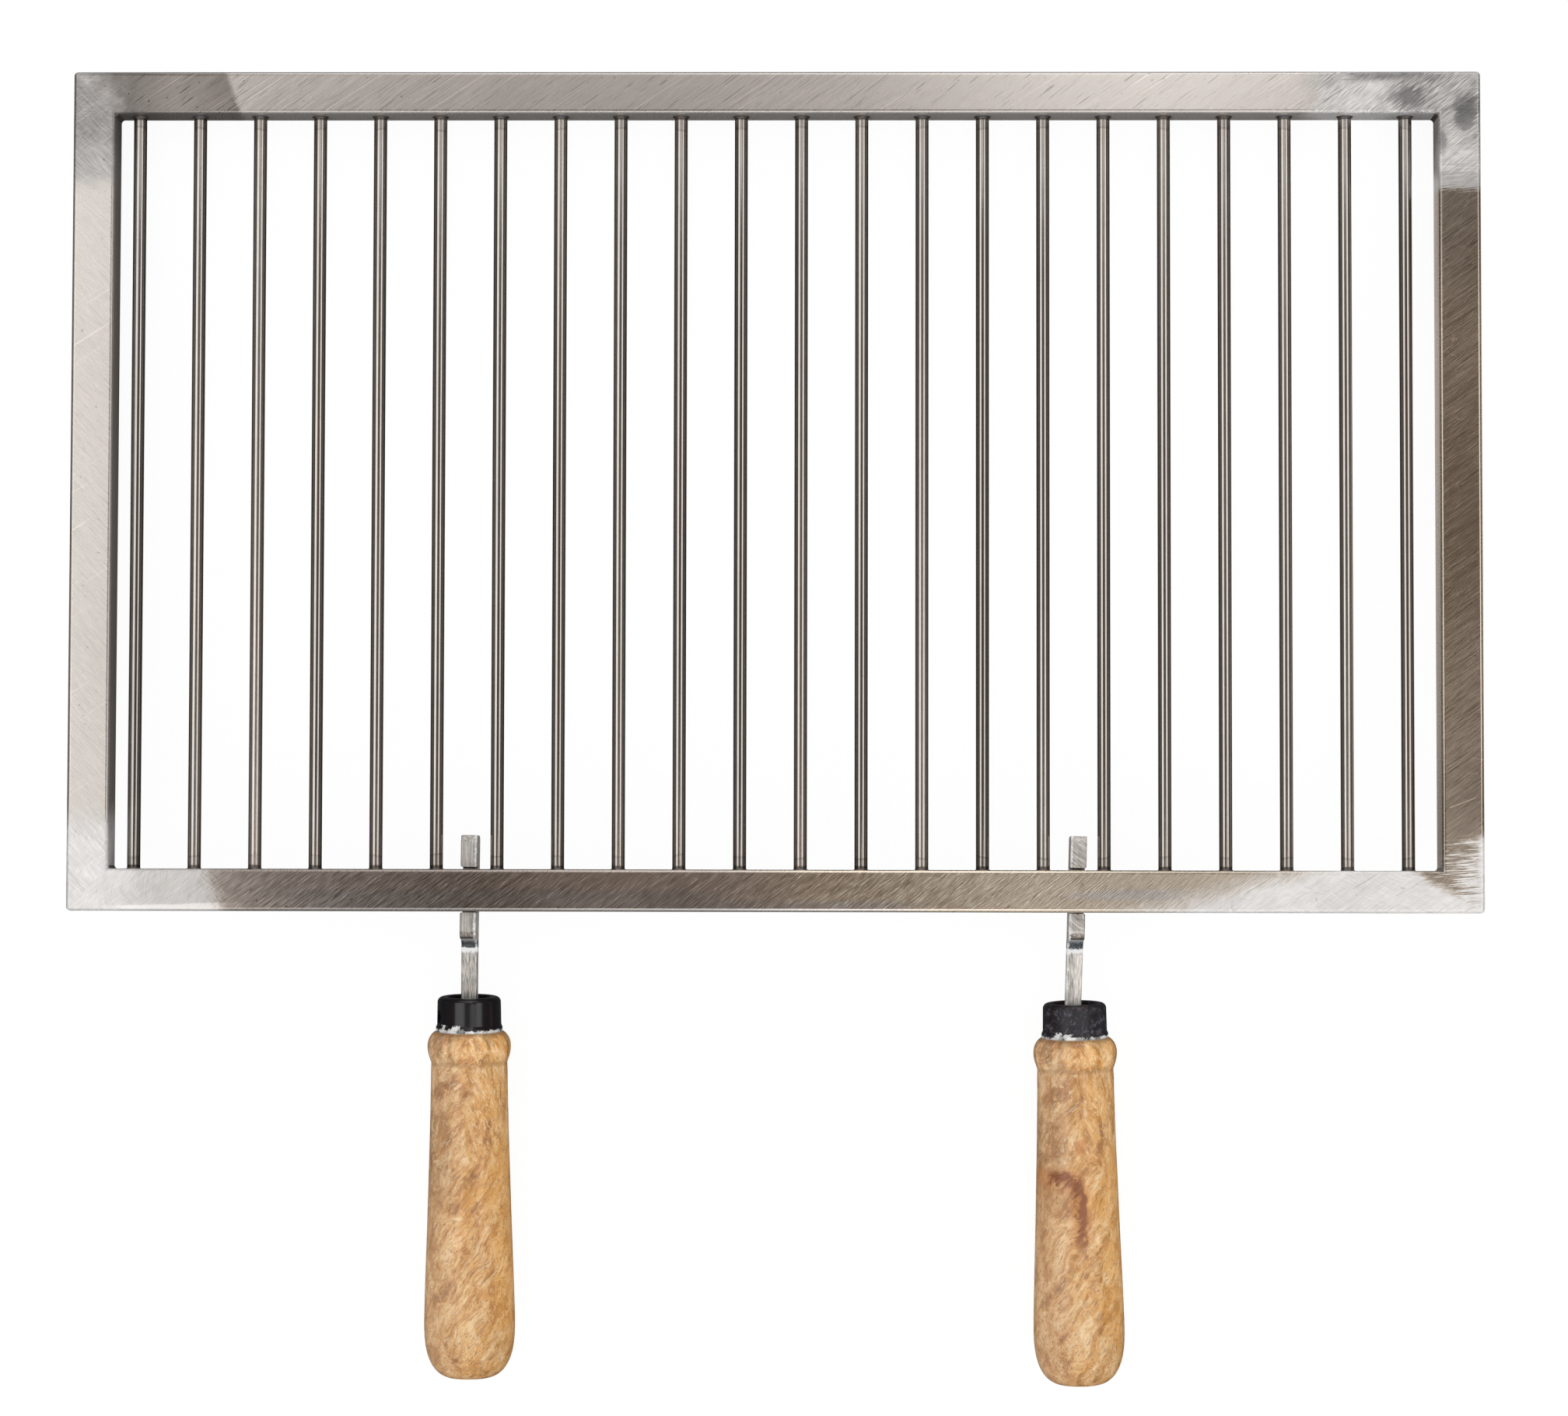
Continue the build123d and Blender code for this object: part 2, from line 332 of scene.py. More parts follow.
def scratches(sh, rails, corners):
    """Single scratches, nicks and specks, added to the brightness."""
    x, y, rear, front, right, top = rails.take("x y rear front right top")
    plain, ground_fr = corners.take("plain ground_fr")
    nick = sh.strokes(38, 12.0, 0.60, 0.0, 51.0).step(0.74, 0.78) * rear
    drag = 1 - abs(y + 337.8 - (x - 324.7) * 0.39).step(0.10, 0.40)
    drag = drag * abs(x - 324.7).fade(5.5, 6.5) * top
    drag = drag + (sh.strokes(30, 24.0, 0.6, 1.0, 71.0).step(0.68, 0.72) * ground_fr * front * -0.8)
    scratch = sh.strokes(33, 60.0, 0.55, 0.0, 40.0).step(0.775, 0.80)
    curly = abs(sh.noise(sh.stirred(90.0, 16.0), 60.0, 0.0) - 0.5)
    curly = (1 - curly.step(0.002, 0.006)) * sh.noise(sh.place, 75.0, 1.0).step(0.55, 0.62) * right * plain
    speck = sh.noise(sh.place, 620.0, 0.0).step(0.83, 0.87)
    return (scratch * 0.25 + curly * 0.34) * top - speck * 0.30 - nick * plain * 0.34 + drag * 0.5


def rail_brightness(rails, strokes, corners, marks):
    x, y, at_front, at_left = rails.take("x y at_front at_left")
    front, rear, left, right = rails.take("front rear left right")
    slash, slash_hair, back, back_hair = strokes.take("slash slash_hair back back_hair")
    level_hair, cloud, broad, swirl = strokes.take("level_hair cloud broad swirl")
    ground_fl, ground_fr, ground_rr, ground_rl = corners.take("ground_fl ground_fr ground_rr ground_rl")
    ground, plain, stained = corners.take("ground plain stained")
    patch, shade_rl, slate, streak, wedge = marks.take("patch shade_rl slate streak wedge")
    # Painted reflection in part: each rail's own level copies how bright it looks under the lamps, so the left
    # rail is lighter, the front rail brightest in its middle, the rear rail lighter to the right and the right
    # rail darker towards the rear.
    front_base = (0.67 + x.step(-170.0, -60.0) * 0.34 + x.step(-40.0, 30.0) * 0.54
                  - x.step(110.0, 190.0) * 0.54)
    rear_base = 1.00 + x.step(-150.0, 250.0) * 0.24
    right_base = 1.02 + y.step(-350.0, -270.0) * 0.08 - y.step(-130.0, -60.0) * 0.40
    base = (front * front_base + rear * rear_base + left * 1.12 + right * right_base
            - stained * at_front * (1 - at_left) * 0.30 * (front + right))
    corner = (ground_fl * (1.06 + x.fade(-318.0, -290.0) * 0.16) + ground_fr * 1.36
              + ground_rr * (1.24 - x.step(284.0, 312.0) * y.step(-30.0, -16.0) * 0.36) + ground_rl * 0.82)
    along_belt = front * (1.2 + x.step(-40.0, 60.0) * 0.8) + rear * 0.38 + right * 0.8
    brushed = along_belt * slash + left * back
    hair = (front + rear * 1.4 + right) * slash_hair + left * back_hair
    worked = (swirl * (0.9 - ground_rr * 0.6) + cloud * 0.55
              + (front * slash * 0.6 + left * back + rear * slash + right * level_hair) * 0.9)
    level = (base * plain + corner + broad * 0.20
             + brushed * plain * 0.72 + hair * 0.55 + worked * ground * 1.05
             + ground_rr * (slash * 2.0 + slash_hair * 0.8 + cloud * 0.9) - hair.step(0.13, 0.22) * 0.12)
    level = level * (1 - patch * (0.45 + x.fade(-300.0, -285.0) * 0.14))
    level = level * (1 - shade_rl * ground_rl * (0.24 + slash * 0.8))
    level = level * (1 - (slate * (0.50 + slash * 3.2 + slash_hair * 1.6)).clamped() * 0.80)
    level = level * (1 - streak * 0.06) + wedge * 0.45
    return level, brushed, hair, worked


def rail_colour(sh, rails, corners, marks):
    """The tint of the steel: browner where it is only brushed, grey where it is ground. The right rail's brown
    is partly painted reflection of the brown room.
    """
    x, front, right, at_front, at_left = rails.take("x front right at_front at_left")
    ground, plain, stained, ground_fr = corners.take("ground plain stained ground_fr")
    patch, slate, streak = marks.take("patch slate streak")
    khaki = front * plain * (1 - streak) * x.step(-40.0, 30.0)
    colour = sh.blend(ground, (0.600, 0.575, 0.550), (0.640, 0.632, 0.625))
    colour = sh.blend(front * plain * (1 - khaki), colour, (0.620, 0.555, 0.510))
    colour = sh.blend(khaki, colour, (0.610, 0.545, 0.455))
    # partly painted reflection: the right rail is made browner, as the brown room makes it look
    colour = sh.blend(right * plain, colour, (0.600, 0.530, 0.440))
    colour = sh.blend(patch * 0.8, colour, (0.600, 0.550, 0.515))
    colour = sh.blend((slate * 0.6 + streak * 0.55).clamped(), colour, (0.53, 0.55, 0.57))
    colour = sh.blend(stained * (1 - ground_fr) * at_front * (1 - at_left), colour, (0.600, 0.520, 0.430))
    return colour


def rail_steel():
    """Brushed square tube. Its four corners are ground by hand after welding."""
    sh = material("rail_steel")
    rails = rail_areas(sh)
    strokes = rail_strokes(sh, rails)
    corners = ground_corners(rails, strokes)
    marks = dark_marks(rails, strokes, corners)
    level, brushed, hair, worked = rail_brightness(rails, strokes, corners, marks)
    level = level + scratches(sh, rails, corners)
    colour = sh.tone(rail_colour(sh, rails, corners, marks), level.math("MAXIMUM", 0.10))

    x, y, rear, left, right, top, rounded = rails.take("x y rear left right top rounded")
    wander, broad, swirl = strokes.take("wander broad swirl")
    ground, plain, ground_fl, ground_fr, ground_rr = corners.take("ground plain ground_fl ground_fr ground_rr")
    patch, slate = marks.take("patch slate")
    # the finely scratched corners scatter light and look white
    white = ground_fr * 0.62 + ground_rr * 0.30
    white = white + ground_fl * (x + wander * 40.0).step(-325.0, -285.0, 0.5, 0.1)
    white = white * (1 - slate) * (1.0 + swirl * 1.5)
    inner_wall = rear * y.fade(-9.0, -8.0) * (1 - top)
    rough = (0.200 + ground * 0.15 + rounded * 0.10 + left * 0.06 - right * plain * 0.02 - patch * 0.06
             + (brushed * plain + hair) * 0.20 + broad * 0.08)
    relief = brushed * plain + worked * ground * 0.7 + hair * 0.5
    normal = sh.bump(relief, 0.24, 0.07)
    return sh.finish(Base_Color=colour, Metallic=1 - (white * 0.8 + inner_wall * 0.30).clamped(),
                     Roughness=rough.math("MAXIMUM", 0.08), Normal=normal)


def rod_steel():
    """Drawn bar, with a band of heat tint and a dark collar where each end is welded."""
    sh = material("rod_steel")
    y = sh.parts(sh.place)[1]
    half = HALF_Y - RAIL * MM
    from_end = (half - abs(y - MID_Y)) / MM
    drawn = sh.noise(sh.turned(sh.place, 0, (1300.0, 3.0, 1300.0)), 1.0, 2.0, 0.5) - 0.5
    fine = sh.noise(sh.turned(sh.place, 0, (2600.0, 12.0, 2600.0)), 1.0, 1.0, 0.5) - 0.5
    each = sh.noise(sh.turned(sh.place, 0, (47.0, 1.4, 0.0)), 1.0, 1.0) - 0.5
    blotch = sh.noise(sh.place, 90.0, 2.0, 0.5) - 0.5
    end_at = sh.noise(sh.turned(sh.place, 0, (60.0, 0.0, 0.0)), 1.0, 0.0) * 6.0 + 3.0
    ring = 1 - abs(from_end - end_at - blotch * 1.5).step(0.2, 0.8)
    tint = 1 - (from_end - end_at).step(-0.6, 0.6)
    collar = 1 - (from_end + blotch * 0.8).step(1.4, 2.2)
    halo = 1 - from_end.step(4.0, 26.0)
    speck = sh.noise(sh.place, 700.0, 0.0).step(0.83, 0.87)
    level = (0.94 + drawn * 0.30 + fine * 0.10 + each * 0.85 + blotch * 0.18 - tint * 0.10 - ring * 0.18
             - collar * 0.35 - speck * 0.25)
    colour = sh.blend(halo * 0.4, (0.555, 0.545, 0.535), (0.42, 0.37, 0.325))
    colour = sh.blend(each.step(-0.12, 0.16) * 0.5, colour, (0.54, 0.505, 0.47))
    colour = sh.blend(collar * 0.7, colour, (0.20, 0.165, 0.14))
    colour = sh.tone(colour, level.math("MAXIMUM", 0.1))
    rough = 0.120 + drawn * 0.05 + tint * 0.05 + each.math("MAXIMUM", -0.1) * 0.55 + collar * 0.15
    return sh.finish(Base_Color=colour, Metallic=1.0, Roughness=rough.math("MAXIMUM", 0.085))


def weld_steel():
    sh = material("weld_steel")
    lump = sh.noise(sh.place, 900.0, 3.0, 0.6)
    heat = sh.noise(sh.place, 180.0, 2.0, 0.5)
    colour = sh.node("ShaderNodeValToRGB",
                     {"stops": [(0.0, (0.13, 0.10, 0.085)), (0.45, (0.24, 0.20, 0.17)),
                                (0.6, (0.20, 0.205, 0.23)), (1.0, (0.42, 0.39, 0.35))]}, {"Fac": heat})
    colour = sh.tone(colour, 0.7 + lump * 0.6)
    normal = sh.bump(lump, 0.6, 0.25)
    return sh.finish(Base_Color=colour, Metallic=1.0, Roughness=(0.3 + lump * 0.25).clamped(), Normal=normal)


# ---------------------------------------------------------------- hooks

def hook_steel(side):
    """Ground plate: lines along the tang, heat tint and filler in the hollow, burrs on one edge. Painted shade
    darkens the hollow and the nose; painted highlights lie in the hollow, on the white filler and along the
    burred edge.
    """
    sh = material(side + "_hook_steel")
    x, y, _ = (part / MM for part in sh.parts(sh.place))
    out = front_low.y / MM - y                      # mm in front of the rail
    middle = HOOK_X[side] - math.tan(math.radians(HOOK_LEAN[side])) * (y - FRONT_Y)
    to_burr = (x - middle) * (1.0 if side == "left" else -1.0)     # towards the edge with burrs
    up = sh.facing_up
    top = up.step(0.2, 0.5)
    lines = sh.strokes(90, 30.0, 0.45, 3.0, 2.0) - 0.5
    fine = sh.strokes(91, 9.0, 0.30, 2.0, 22.0) - 0.5
    crosswise = sh.strokes(-38, 5.0, 0.45, 3.0, 6.0) - 0.5
    cut = sh.noise(sh.turned(sh.place, 0, (100.0, 1500.0, 160.0)), 1.0, 3.0) - 0.5
    ragged = sh.noise(sh.place, 900.0, 3.0, 0.6) - 0.5
    patch = sh.noise(sh.place, 260.0, 3.0, 0.6) - 0.5
    place = out + ragged * 2.2
    hollow = place.step(13.2, 13.8) * place.fade(17.0, 17.6)
    # filler: a white band past the hollow, weld filler and partly a painted highlight where the fillet turns
    # to the light
    filler = place.step(16.9, 17.5) * (place - lines * 4.0).fade(19.0, 20.0)
    nose = (out + ragged * 0.6).step(9.4, 9.9) * place.fade(13.0, 13.6)
    nose_line = 1 - abs(out - 12.4 + ragged * 0.8).step(0.25, 0.7)
    ridge = 1 - abs(out - 9.3 + ragged * 1.6).step(0.2, 0.6)
    tang = place.step(19.5, 20.5)
    grind = (lines * (0.8 + tang * 0.5) + fine * 0.5) if side == "left" else (
        lines * (0.35 + tang * 0.8) + fine * 0.5 + crosswise * (1 - tang) * 1.2)
    # burrs along the edge that faces the grate's middle, lightened in part as a painted highlight on that edge
    burr_and_highlight = (to_burr + ragged * 2.6 + lines * 1.0).step(2.6, 3.1) * (0.45 + patch.step(-0.06, 0.08) * 0.6)
    burr_and_highlight = burr_and_highlight * (out.fade(16.0, 18.0) if side == "left" else 1.0)
    grey = 0.80 if side == "left" else 0.92 + (to_burr * -1.0).step(-1.5, 1.5) * 0.40 * tang
    # painted shade: the rounded nose is darker, and a dark line runs across it (nose_line)
    level = grey + grind * 2.2 + patch * 0.5 - nose * 0.28 + ridge * (0.25 if side == "right" else 0.0)
    level = (level * (1 - nose_line * 0.55)) * top + (1 - top) * (0.85 + cut * 1.2)
    # the hollow: heat tint, made near black as painted shade under the lug; painted highlight streaks (glint)
    # lie over it
    tint_and_painted_shade = (hollow * (0.90 + patch * 0.6)).clamped()
    colour = sh.blend(tint_and_painted_shade, (0.645, 0.620, 0.590), (0.105, 0.130, 0.155))
    glint = (lines * 0.6 + fine * 0.6 + (14.8 - out) * 0.12).step(0.02, 0.22)
    colour = sh.blend(hollow * glint * 0.7, colour, (0.50, 0.56, 0.62))
    # painted shade: the nose is also tinted brown
    colour = sh.blend(nose * 0.5, colour, (0.50, 0.42, 0.36))
    colour = sh.blend(tang * patch.step(0.0, 0.2) * 0.4, colour, (0.62, 0.56, 0.47))
    colour = sh.tone(colour, level.math("MAXIMUM", 0.1))
    # the white filler band and the white burr line are partly painted highlights
    colour = sh.blend((filler + burr_and_highlight * top).clamped(), colour, (0.90, 0.90, 0.90))
    rough = 0.42 + grind * 0.25 + filler * 0.16 - hollow * 0.14
    normal = sh.bump(top * grind + (1 - top) * cut + burr_and_highlight * 0.8, 0.45, 0.14)
    metal = 0.72 - (1 - top) * 0.35 - (filler + burr_and_highlight).clamped() * 0.6
    return sh.finish(Base_Color=colour, Metallic=metal.clamped(), Roughness=rough.math("MAXIMUM", 0.1),
                     Normal=normal)


def handle_axes(side):
    """The middle of the ferrule's mouth and the direction towards the grip's end."""
    low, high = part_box(side + "_ferrule")
    grip_low, grip_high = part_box(side + "_grip")
    middle = (low + high) / 2
    end = (grip_low.x + grip_high.x) / 2 - middle.x
    swing = math.atan2(end, (high.y - low.y) + (high.y - grip_low.y)) * 2
    away = Vector((math.sin(swing) * math.cos(DROOP), -math.cos(swing) * math.cos(DROOP), -math.sin(DROOP)))
    return middle - away * (FERRULE_LENGTH / 2) * MM, away


def along_grip(sh, side):
    """Shader values in mm: distance from the ferrule's mouth, sideways offset, height above the axis."""
    mouth, away = handle_axes(side)
    up = Vector((0.0, -math.sin(DROOP), math.cos(DROOP)))
    moved = sh.vector("SUBTRACT", sh.place, mouth)

    def part(direction):
        found = sh.node("ShaderNodeVectorMath", {"operation": "DOT_PRODUCT"}, {0: moved, 1: direction}, 1)
        return found / MM

    return part(away), part(up.cross(away)), part(up)


def ferrule_paint(side, gloss):
    """Black paint on a steel cup, chipped to bare metal and filler along its rear band."""
    sh = material(side + "_ferrule_paint")
    out, aside, _ = along_grip(sh, side)
    ragged = sh.noise(sh.place, 800.0, 4.0, 0.7) - 0.5
    coarse = sh.noise(sh.place, 260.0, 2.0, 0.5) - 0.5
    worn = (aside + coarse * 14.0).step(-13.0, -10.5) * (aside + coarse * 10.0).fade(-3.5, -1.0)
    chip = (out + ragged * 3.4 + coarse * 1.6).step(14.9, 15.1)
    chip = chip + (out + ragged * 9.0 + coarse * 9.0).step(13.5, 13.8) * out.step(12.3, 12.8) * worn
    bare = chip.clamped()
    seam = (out + ragged * 0.5).step(16.1, 16.3)
    peel = sh.noise(sh.place, 420.0, 2.0) - 0.5
    scuff = sh.strokes(60, 5.0, 0.5, 3.0, 11.0) - 0.5
    if gloss:
        paint = sh.tone((0.0042, 0.0042, 0.0070), 1.0 + scuff * 0.6)
        rough = 0.20 + peel * 0.10 + scuff * 0.08
        relief, strength = peel, 0.12
    else:
        mottle = sh.noise(sh.place, 330.0, 5.0, 0.72) - 0.5
        rub = (scuff * 0.7 + mottle * 0.9).step(0.02, 0.20)
        paint = sh.blend(rub, (0.0095, 0.0082, 0.0125), (0.095, 0.098, 0.135))
        paint = sh.blend((mottle + coarse * 0.7).step(0.06, 0.18) * 0.5, paint, (0.075, 0.040, 0.042))
        rough = 0.44 + mottle * 0.5 + scuff * 0.2
        relief, strength = mottle, 0.80
    metal = sh.blend(coarse.step(-0.10, 0.10), (0.30, 0.295, 0.285), (0.88, 0.88, 0.87))
    metal = sh.blend((ragged + coarse).fade(-0.16, -0.04) * 0.8, metal, (0.045, 0.042, 0.040))
    metal = sh.blend(seam, metal, (0.42, 0.38, 0.32))
    colour = sh.blend(bare, paint, metal)
    rough = rough * (1 - bare) + bare * 0.45
    normal = sh.bump(relief * (1 - bare) + (1 - bare) * 2.0, strength, 0.12)
    return sh.finish(Base_Color=colour, Metallic=bare * 0.30, Roughness=rough.math("MAXIMUM", 0.08),
                     Normal=normal, IOR=1.50, Coat_Weight=(1 - bare) * (0.3 if gloss else 0.1),
                     Coat_Roughness=0.16)


def knot_marks(out, aside, up, warp, mottle, streak):
    """A reddish knot: from the left flank its line turns down and fades along the grip, in a soft haze."""
    past = ((out - 108.0 + warp * 10.0).math("MINIMUM", 0.0) * -1.0) / 29.0
    wide = (aside + 17.0 + warp * 5.0 + mottle * 4.0).math("MAXIMUM", 0.0) / 19.5
    bend = past ** 3.0 + wide ** 3.0
    line = 1 - abs(bend - 0.92 + mottle * 0.7 + streak * 0.8).step(0.10, 0.46)
    core = line * (out + streak * 40.0).fade(106.0, 126.0) * (aside + streak * 6.0).step(-16.0, -13.0)
    spot = 1 - (((out - 67.0) / 5.0) ** 2.0 + ((aside - 1.0) / 3.2) ** 2.0 + mottle * 5.0).step(0.2, 1.4)
    haze = (1 - abs(bend - 0.95 + mottle * 0.5).step(0.05, 0.95)) * (out + warp * 40).fade(104.0, 132.0)
    return (haze + spot).clamped() * up.step(-6.0, 2.0), core * up.step(-2.0, 4.0)


def grip_wood(side, knot):
    """Turned hardwood, oiled: crossing grain under the bead, slanted grain and flecks below it."""
    sh = material(side + "_grip_wood")
    out, aside, up = along_grip(sh, side)
    mouth, _ = handle_axes(side)
    bent = sh.stirred(70.0, 9.0)
    curled = sh.stirred(150.0, 5.0)

    def grain(degrees, length, width, detail, shift, place=None):
        """Streaks seen from above: length and width in mm, leaning from straight along the grip."""
        place = place or sh.place
        vector = sh.turned(place, degrees, (1 / (width * MM), 1 / (length * MM), 1 / (width * MM)), mouth)
        return sh.noise(sh.vector("ADD", vector, (shift, shift, shift)), 1.0, detail, 0.62) - 0.5

    warp = sh.noise(sh.turned(sh.place, 0, (30.0, 30.0, 30.0), mouth), 1.0, 2.0) - 0.5
    lower = (out + warp * 50.0).step(62.0, 92.0)
    upper = 1 - lower
    falling = upper * (aside + warp * 10.0).step(-4.0, 5.0)      # the right of the upper part leans back
    rising = 1 - falling
    tone = grain(34, 30.0, 5.5, 4.0, 1.7, bent) * rising + grain(-16, 30.0, 4.5, 4.0, 5.7, bent) * falling
    streak = grain(38, 15.0, 1.5, 4.0, 8.1, bent) * rising + grain(-20, 17.0, 1.4, 4.0, 28.1, bent) * falling
    fibre = grain(36, 9.0, 0.45, 3.0, 15.3) * rising + grain(-20, 9.0, 0.45, 3.0, 45.3) * falling
    feather = grain(-38, 9.0, 0.9, 3.0, 18.1, curled) * (aside.step(0.0, 3.0)) + (
        grain(44, 9.0, 0.9, 3.0, 48.1, curled) * aside.fade(0.0, 3.0))
    fleck = grain(40, 4.6, 0.6, 2.0, 31.0, bent)
    pore = grain(30, 1.8, 0.4, 1.0, 37.0)
    cloud = grain(0, 24.0, 11.0, 4.0, 4.4, bent)
    mottle = grain(8, 5.0, 3.4, 4.0, 24.4, bent)
    facet_light_and_shade = grain(2, 60.0, 4.6, 0.0, 61.0)

    colour = sh.node("ShaderNodeValToRGB",
                     {"stops": [(0.0, (0.30, 0.125, 0.036)), (0.28, (0.50, 0.230, 0.066)),
                                (0.46, (0.65, 0.345, 0.120)), (0.62, (0.74, 0.440, 0.185)),
                                (1.0, (0.88, 0.630, 0.350))]},
                     {"Fac": tone * 2.9 + streak * 1.2 + mottle * 1.0 + 0.50})
    pale = (aside + cloud * 26.0).fade(-14.0, 0.0)
    orange = (cloud * -1.0 + aside * 0.007).step(-0.02, 0.14)
    end_flecks = out.step(150.0, 174.0) * pore.step(0.06, 0.13) + pore.step(0.19, 0.24)
    colour = sh.layered(
        colour,
        (pale * 0.42, (0.66, 0.415, 0.255)),
        (orange * 0.60, (0.73, 0.360, 0.085)),
        (streak.step(0.04, 0.15) * 0.60, (0.36, 0.150, 0.044)),
        (streak.fade(-0.15, -0.05) * 0.50, (0.90, 0.660, 0.390)),
        (feather.step(0.07, 0.15) * upper * 0.65, (0.90, 0.670, 0.410)),
        (feather.fade(-0.17, -0.09) * upper * 0.55, (0.38, 0.170, 0.050)),
        (fleck.step(0.10, 0.17) * (0.25 + lower * 0.45), (0.25, 0.105, 0.032)),
        (end_flecks.clamped() * 0.55, (0.20, 0.085, 0.03)))

    # smudges on the left of the upper part, and the small dark one above them
    smudge = (aside + mottle * 14.0).fade(-11.0, -4.0) * (out + warp * 30).step(44.0, 54.0) * (
        out + warp * 60).fade(78.0, 112.0)
    dark_spot = 1 - (((aside + 12.5 + (out - 42.0) * 0.80) / 2.4) ** 2.0 + ((out - 42.0) / 6.0) ** 2.0
                     + streak * 9.0 + mottle * 4.0).step(-0.4, 2.0)
    colour = sh.layered(
        colour,
        ((smudge * (0.50 + mottle * 4.0 + streak * 2.5)).clamped() * 0.66, (0.33, 0.160, 0.060)),
        (dark_spot * up.step(0.0, 4.0) * 0.62, (0.30, 0.125, 0.042)))
    level = 1.0 + fibre * 0.60 + warp * 0.25
    bead = out.fade(30.0, 32.0)
    # painted light and shade: strips along the bead are made lighter and darker, as facets turned to and from
    # the lamps would look
    level = level + bead * facet_light_and_shade.step(-0.08, 0.08, -0.16, 0.14)
    if knot:
        haze, core = knot_marks(out, aside, up, warp, mottle, streak)
        core = (core * (1.05 + streak * 2.5 + fibre * 1.5)).clamped()
        colour = sh.layered(colour, (haze * 0.62, (0.56, 0.225, 0.066)), (core * 0.92, (0.240, 0.068, 0.018)))
    colour = sh.tone(colour, level)
    seam = 1 - (out + warp * 1.5).step(16.9, 18.4)
    # painted shade: a dark line in the crease under the bead
    crease = 1 - abs(out - 31.0).step(0.5, 1.8)
    colour = sh.blend(seam * 0.5 + crease * 0.28, colour, (0.26, 0.125, 0.045))
    rough = 0.38 + fibre * 0.25 + mottle * 0.2 - bead * 0.08
    normal = sh.bump(fibre * 0.6 + streak * 0.6 - fleck.step(0.15, 0.22) * 0.5, 0.28, 0.12)
    return sh.finish(Base_Color=colour, Metallic=0.0, Roughness=rough.math("MAXIMUM", 0.15), Normal=normal,
                     Coat_Weight=0.35, Coat_Roughness=0.20)


dress(rail_steel(), "front_rail", "rear_rail", "left_rail", "right_rail")
dress(rod_steel(), *[name for name in nodes if name.startswith("rod_") and name[4:].isdigit()])
dress(weld_steel(), "rod_welds_front", "rod_welds_rear", "corner_welds")
for side, gloss, knot in (("left", True, False), ("right", False, True)):
    dress(hook_steel(side), side + "_hook")
    dress(ferrule_paint(side, gloss), side + "_ferrule")
    dress(grip_wood(side, knot), side + "_grip")


# ---------------------------------------------------------------- stage, light and camera

def touching_floor():
    """The plane under the object: it lies on the rear rail's lower edge and on the two grips."""
    low_grip = min((v.co for side in ("left", "right") for v in nodes[side + "_grip"].data.vertices),
                   key=lambda p: p.z)
    slope = -low_grip.z / (rear_high.y - low_grip.y)
    for _ in range(6):
        grips = [v.co for side in ("left", "right") for v in nodes[side + "_grip"].data.vertices]
        low_grip = min(grips, key=lambda p: p.z - slope * p.y)
        slope = -low_grip.z / (rear_high.y - low_grip.y)
    return math.atan(slope)


floor_turn = touching_floor()
bpy.ops.mesh.primitive_plane_add(size=FLOOR_SIZE)
floor = bpy.context.object
floor.name = "floor"
floor.matrix_world = (Matrix.Translation((0.0, rear_high.y, -FLOOR_GAP)) @ Matrix.Rotation(floor_turn, 4, "X"))
sh = material("pale_floor")
mirrored = sh.node("ShaderNodeLightPath", {}, {}, "Is Glossy Ray")
to_camera = sh.node("ShaderNodeLightPath", {}, {}, "Is Camera Ray")
below = sh.node("ShaderNodeNewGeometry", {}, {}, "Backfacing")
white = sh.node("ShaderNodeBsdfDiffuse", {}, {"Color": (0.90, 0.90, 0.90)})
clear = sh.node("ShaderNodeBsdfTransparent", {}, {"Color": (1.0, 1.0, 1.0)})
lit = sh.mixed(to_camera * 0.88, white, clear)
floor_x, floor_y, _ = sh.parts(sh.place)
stripes = sh.noise(sh.turned(sh.place, 0, (900.0, 2.0, 0.0)), 1.0, 1.0).step(0.40, 0.56)
beside_rail = (floor_x.step(right_low.x - 0.011, right_low.x - 0.007) * stripes
               * floor_y.fade(-0.050, -0.043))
dim = sh.node("ShaderNodeEmission", {}, {"Color": (1.0, 0.93, 0.88), "Strength": 0.07})
bright = sh.node("ShaderNodeEmission", {}, {"Color": (1.0, 0.93, 0.88), "Strength": 0.82})
seen_in_steel = sh.mixed(beside_rail, dim, bright)
pale = sh.mixed(mirrored, lit, seen_in_steel)
sh.surface(sh.mixed(below, pale, clear))
floor.data.materials.append(sh.owner)

world = bpy.data.worlds.new("studio")
bpy.context.scene.world = world
room = Shader(world)
seen_in_gloss = room.node("ShaderNodeLightPath", {}, {}, "Is Glossy Ray")
plain = room.node("ShaderNodeBackground", {}, {"Color": (1.0, 1.0, 1.0)})
seen_by_camera = room.node("ShaderNodeLightPath", {}, {}, "Is Camera Ray")
backdrop = room.node("ShaderNodeBackground", {}, {"Color": (1.0, 1.0, 1.0), "Strength": 1.05})
dusk = room.node("ShaderNodeBackground", {}, {"Color": (0.135, 0.100, 0.075)})
dawn = room.node("ShaderNodeBackground", {}, {"Color": (0.62, 0.61, 0.60)})
_, ahead, above = room.parts(room.place)
front_wall = ahead.fade(-0.60, -0.40) * above.step(0.03, 0.12) * above.fade(0.55, 0.70)
mirrored_room = room.mixed(front_wall, dusk, dawn)
open_room = room.mixed(seen_by_camera, plain, backdrop)
room.surface(room.mixed(seen_in_gloss, open_room, mirrored_room), "ShaderNodeOutputWorld")


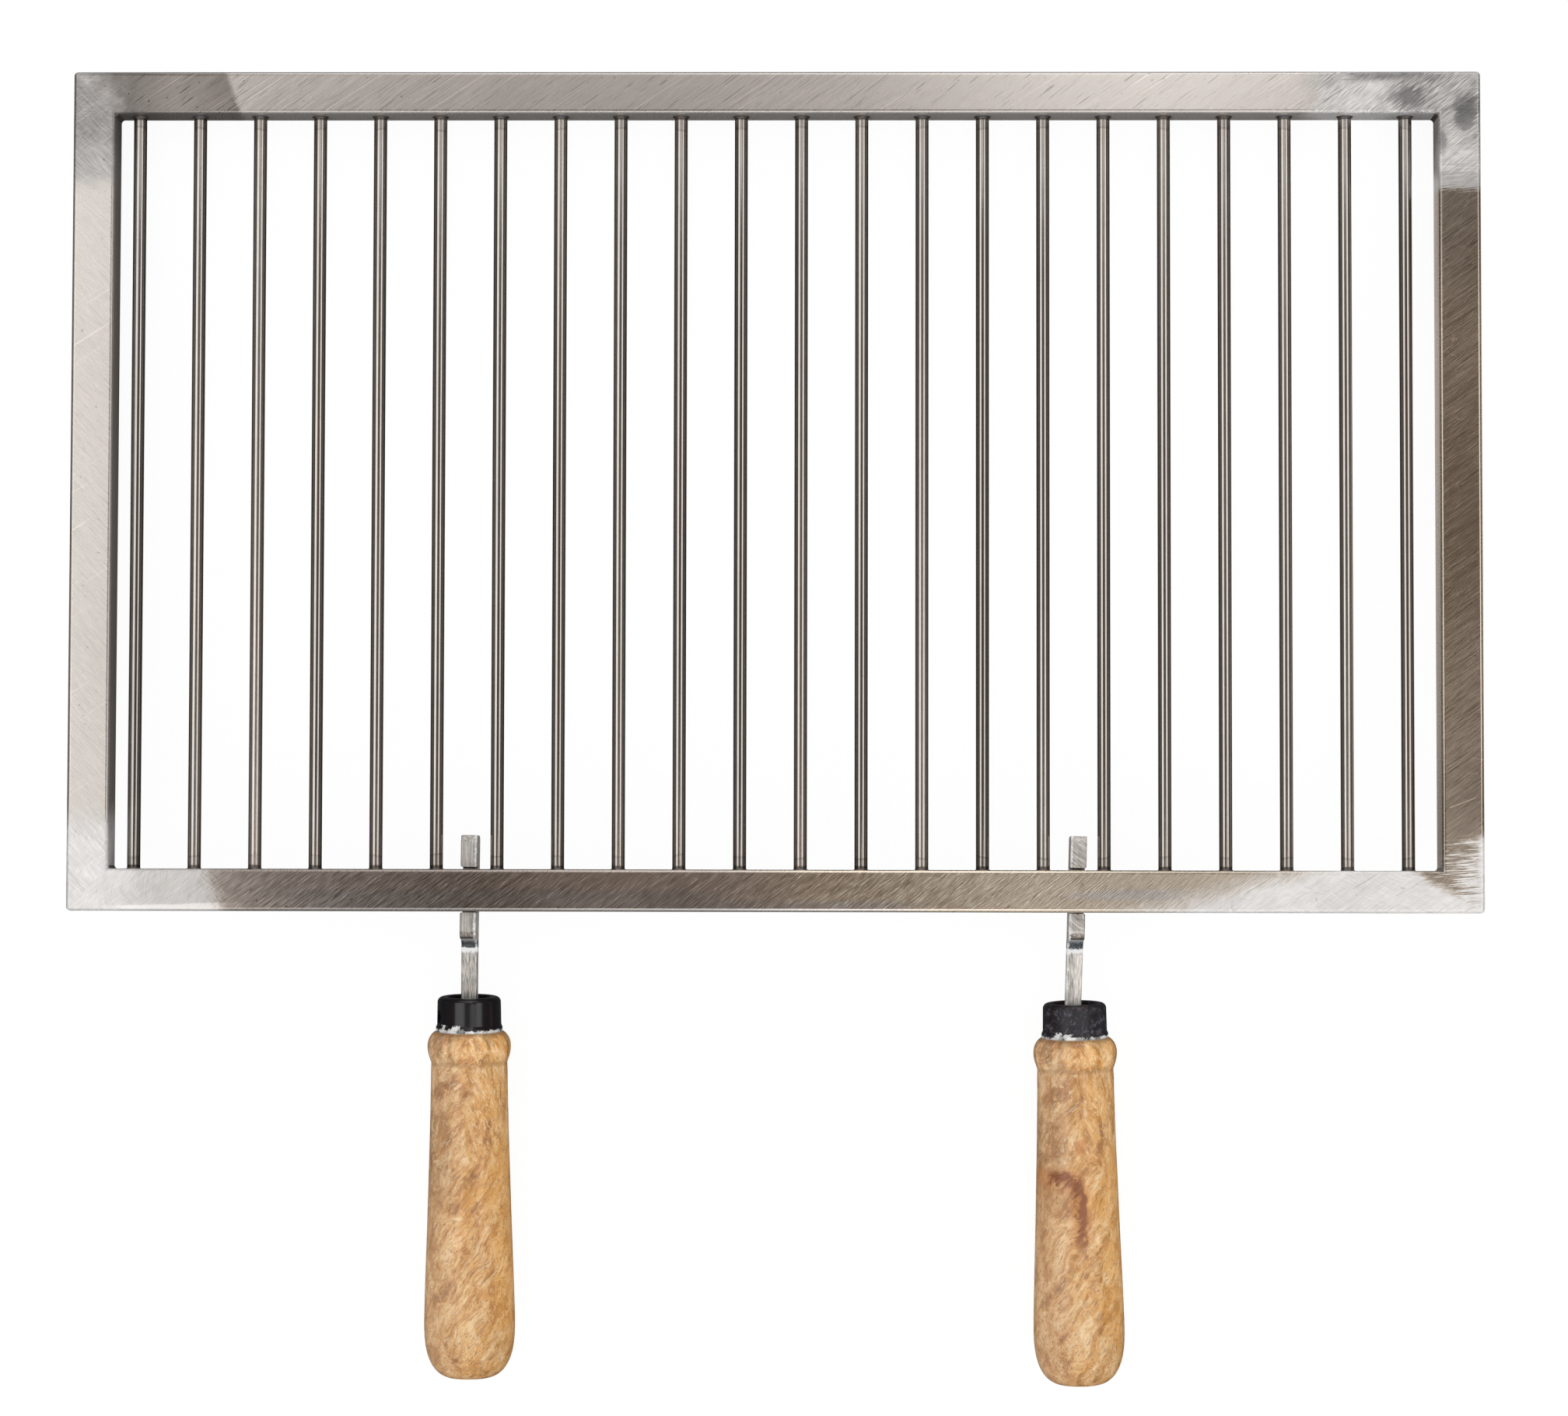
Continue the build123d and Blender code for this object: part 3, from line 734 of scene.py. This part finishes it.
def softbox(name, low, high, glow, turn=0.0, y=None):
    """A light panel of one brightness, level over the grate from its low to its high corner.

    Turned about X it stands up: low and high are then its reach in X and in height."""
    light = bpy.data.lights.new(name, "AREA")
    light.shape = "RECTANGLE"
    light.size, light.size_y = high[0] - low[0], high[1] - low[1]
    light.energy = glow * math.pi * light.size * light.size_y
    lamp = bpy.data.objects.new(name, light)
    bpy.context.scene.collection.objects.link(lamp)
    middle = ((low[0] + high[0]) / 2, (low[1] + high[1]) / 2)
    lamp.location = (*middle, PANEL_HEIGHT) if y is None else (middle[0], y, middle[1])
    lamp.rotation_euler = (math.radians(turn), 0.0, 0.0)
    lamp.visible_camera = False
    lamp.visible_diffuse = False


for name, low, high, glow in (
        ("left_box", (-2.3, -1.3), (-0.60, 0.9), 1.30),
        ("right_box", (1.00, -1.3), (2.3, 0.9), 1.30),
        ("rear_left_box", (-0.55, 0.30), (0.15, 2.6), 0.55),
        ("rear_right_box", (0.15, 0.30), (0.54, 2.6), 1.25),
        ("front_left_box", (-0.8, -1.15), (0.15, -0.62), 0.12),
        ("front_middle_box", (0.15, -1.15), (0.95, -0.62), 0.95),
        ("front_far_box", (-0.9, -2.4), (0.95, -1.15), 1.30),
        ("front_right_box", (0.34, -0.58), (0.66, -0.33), 1.60)):
    softbox(name, low, high, glow)
softbox("back_panel", (-1.5, 0.2), (1.5, 2.2), 1.20, turn=-90.0, y=2.7)

# the camera looks almost straight down on the middle of the grate and its handles
cam_data = bpy.data.cameras.new("camera")
cam = bpy.data.objects.new("camera", cam_data)
bpy.context.scene.collection.objects.link(cam)
cam_data.sensor_width = 36.0
cam_data.lens = CAMERA_LENS
cam_data.dof.use_dof = False
cam_data.clip_start, cam_data.clip_end = 0.05, 50.0
cam.matrix_world = Matrix.Translation((CAMERA_X, CAMERA_Y, PANEL_HEIGHT))
for degrees, axis in CAMERA_TURNS:
    cam.matrix_world = cam.matrix_world @ Matrix.Rotation(math.radians(degrees), 4, axis)
bpy.context.scene.camera = cam
bpy.context.scene.view_settings.view_transform = "Standard"

bpy.context.view_layer.update()
